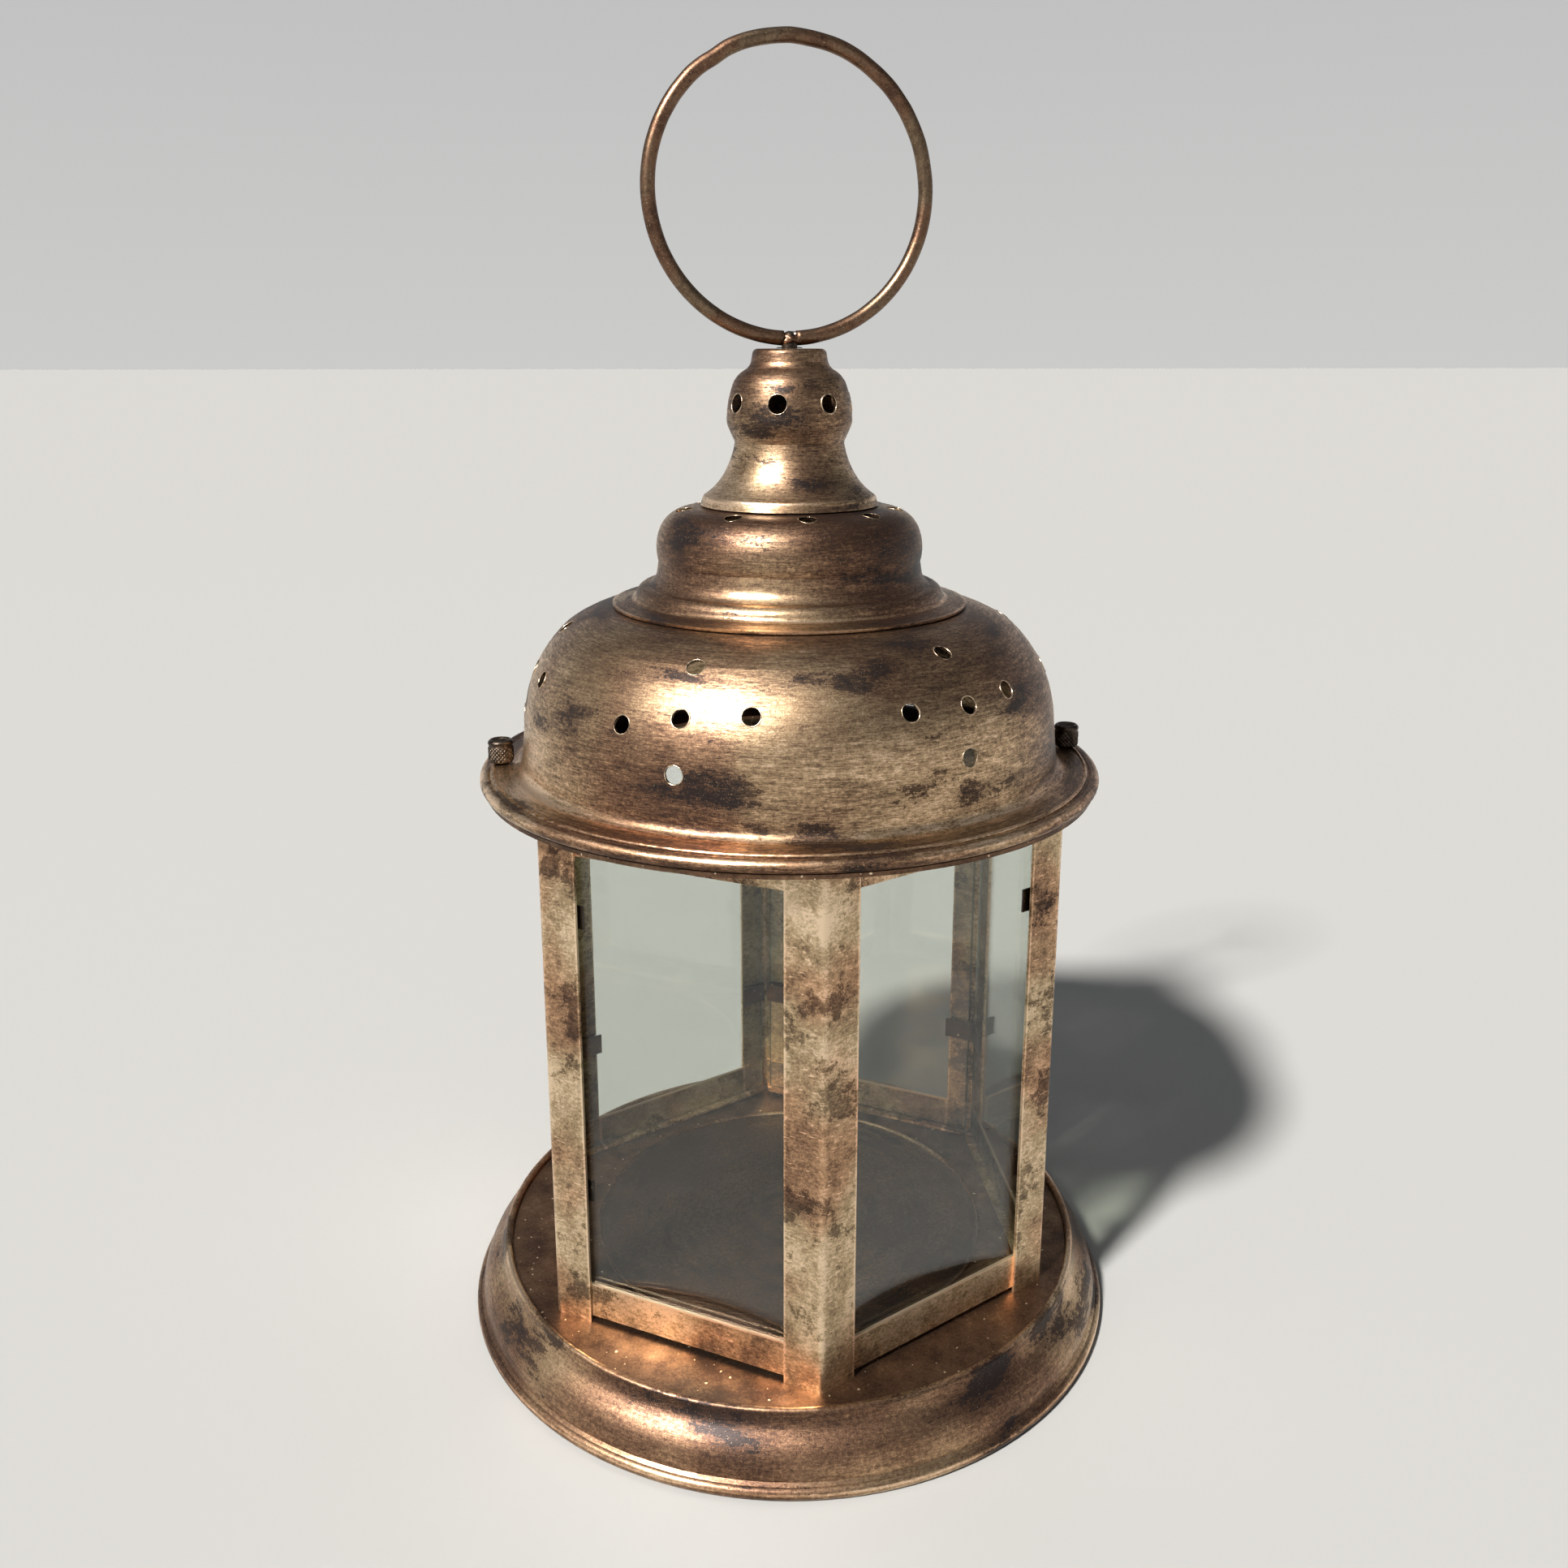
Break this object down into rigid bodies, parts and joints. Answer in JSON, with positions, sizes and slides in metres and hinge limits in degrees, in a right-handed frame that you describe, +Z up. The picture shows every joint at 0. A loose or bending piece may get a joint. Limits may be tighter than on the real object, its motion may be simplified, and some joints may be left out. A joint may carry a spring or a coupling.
{
  "type": "hanging lantern",
  "caption": "Antiqued brass candle lantern: round spun base, glazed hexagonal body, pierced domed roof held by knurled thumbscrews, and a wire hanging ring.",
  "frame": {"origin": "centre of the round base on the surface it stands on", "axes": "+Z up along the lantern's axis; -Y points at a corner post of the six-sided body; the thumbscrews are on the X axis"},
  "size_m": [0.21, 0.21, 0.3923],
  "materials": {
    "spun_brass": "antiqued, circular brush lines, rubbed highlights",
    "frame_brass": "mottled antique copper and dark brown",
    "deck_brass": "dull antiqued",
    "wire_brass": "antiqued, rubbed",
    "hardware_brass": "dark antiqued",
    "clip_brass": "blackened",
    "glass": "clear, slightly green at the edges"
  },
  "bodies": {
    "lantern_body": {"base_ring": "spun_brass", "base_deck": "deck_brass", "candle_plate": "deck_brass", "corner_post_1": "frame_brass", "corner_post_2": "frame_brass", "corner_post_3": "frame_brass", "corner_post_4": "frame_brass", "corner_post_5": "frame_brass", "corner_post_6": "frame_brass", "bottom_rail_1": "frame_brass", "bottom_rail_2": "frame_brass", "bottom_rail_3": "frame_brass", "bottom_rail_4": "frame_brass", "bottom_rail_5": "frame_brass", "bottom_rail_6": "frame_brass", "top_rail_1": "frame_brass", "top_rail_2": "frame_brass", "top_rail_3": "frame_brass", "top_rail_4": "frame_brass", "top_rail_5": "frame_brass", "top_rail_6": "frame_brass", "glass_pane_1": "glass", "glass_pane_2": "glass", "glass_pane_3": "glass", "glass_pane_4": "glass", "glass_pane_5": "glass", "glass_pane_6": "glass", "glass_clips_1": "clip_brass", "glass_clips_2": "clip_brass", "glass_clips_3": "clip_brass", "glass_clips_4": "clip_brass", "glass_clips_5": "clip_brass", "glass_clips_6": "clip_brass", "frame_top_ring": "frame_brass", "screw_nuts": "hardware_brass"},
    "roof": {"roof_dome": "spun_brass", "roof_collar": "spun_brass", "roof_neck": "spun_brass", "roof_cap": "spun_brass"},
    "hanger": {"hanger_ring": "wire_brass", "hanger_stud": "hardware_brass", "hanger_washer": "hardware_brass", "hanger_nut": "hardware_brass"},
    "left_screw": {"thumbscrew_left": "hardware_brass"},
    "right_screw": {"thumbscrew_right": "hardware_brass"}
  },
  "joints": [
    {"name": "roof_lift", "type": "slide", "parent": "lantern_body", "child": "roof", "axis": [0, 0, 1], "range_m": [0, 0.12]},
    {"name": "hanger_swivel", "type": "hinge", "parent": "roof", "child": "hanger", "pos_m": [0, 0, 0.3059], "axis": [0, 0, 1], "continuous": true},
    {"name": "left_screw_turn", "type": "hinge", "parent": "roof", "child": "left_screw", "pos_m": [-0.0888, 0, 0.183], "axis": [0, 0, 1], "continuous": true},
    {"name": "right_screw_turn", "type": "hinge", "parent": "roof", "child": "right_screw", "pos_m": [0.0888, 0, 0.183], "axis": [0, 0, 1], "continuous": true}
  ]
}
